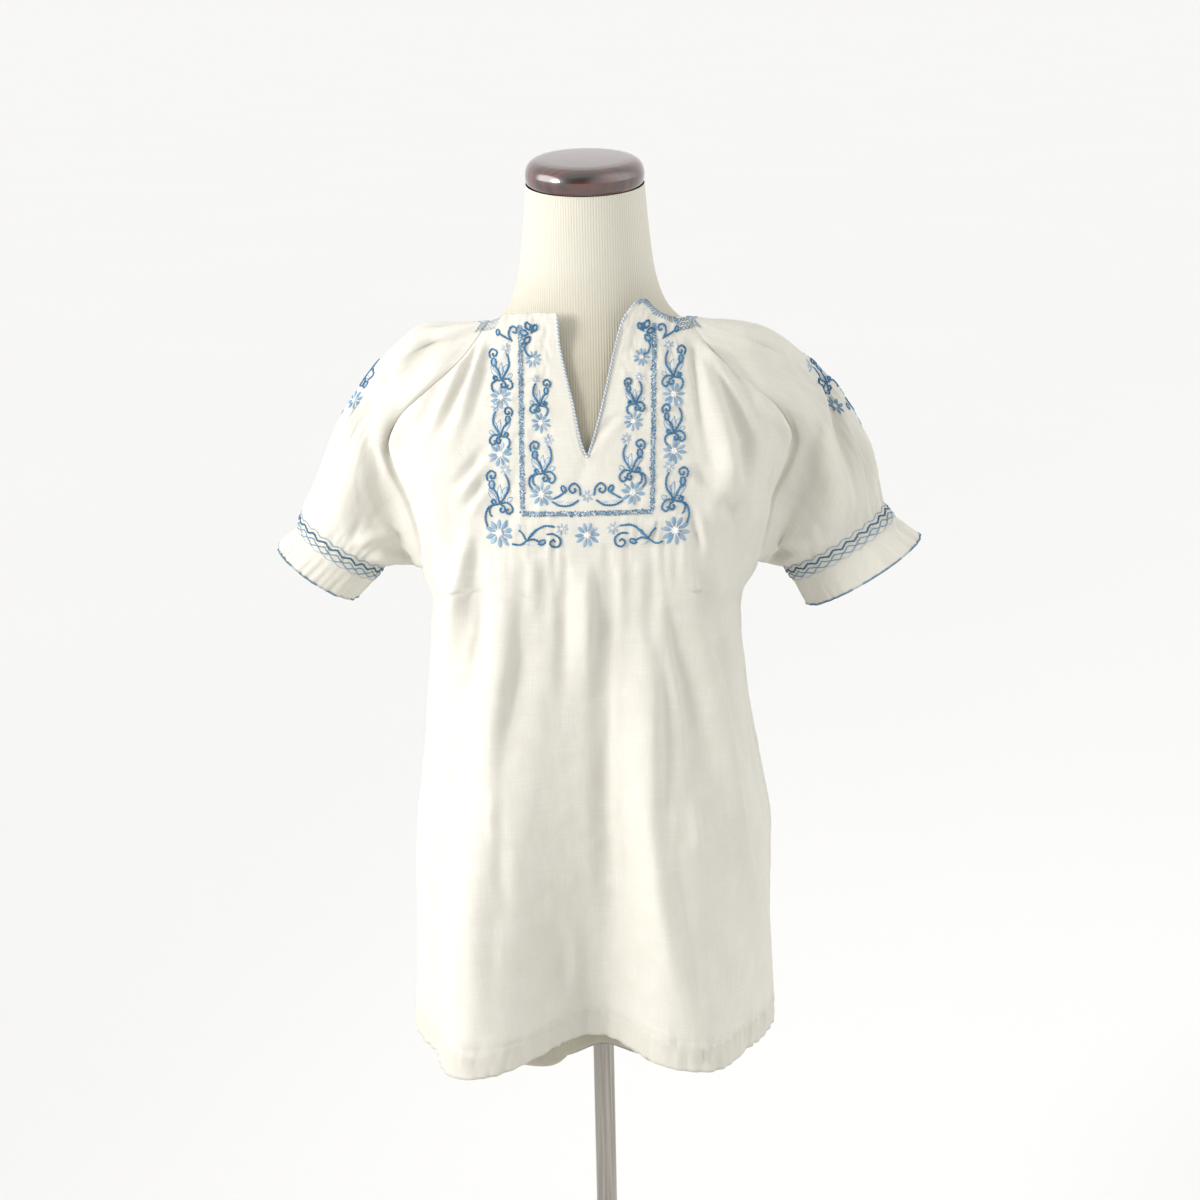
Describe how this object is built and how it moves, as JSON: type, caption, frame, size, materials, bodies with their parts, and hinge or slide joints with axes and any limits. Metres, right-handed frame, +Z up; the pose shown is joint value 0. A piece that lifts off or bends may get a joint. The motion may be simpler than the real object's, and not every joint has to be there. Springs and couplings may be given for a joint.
{
  "type": "embroidered folk blouse on a dress form",
  "caption": "White pull-on blouse with a smocked neck, an open throat slit, short gathered sleeves with frilled cuffs and blue floral embroidery, worn by a limbless dress form on a pole.",
  "frame": {"origin": "on the floor, at the middle of the stand's round base, under the pole's axis", "axes": "+Z up along the pole; -Y is the front of the blouse; +X is the viewer's right when looking at the front"},
  "size_m": [0.6367, 0.3134, 1.4858],
  "materials": {
    "cotton": "matt, plain weave, slightly translucent",
    "embroidery": "stranded cotton thread with a soft sheen",
    "jersey": "matt ribbed jersey",
    "cap_wood": "dark red-brown, high gloss lacquer",
    "chrome": "polished"
  },
  "bodies": {
    "root": {"blouse_front": "cotton", "blouse_back": "cotton", "sleeve_left": "cotton", "sleeve_right": "cotton", "form_torso": "jersey", "neck_cap": "cap_wood", "pole": "chrome", "stand_base": "chrome"}
  },
  "joints": []
}
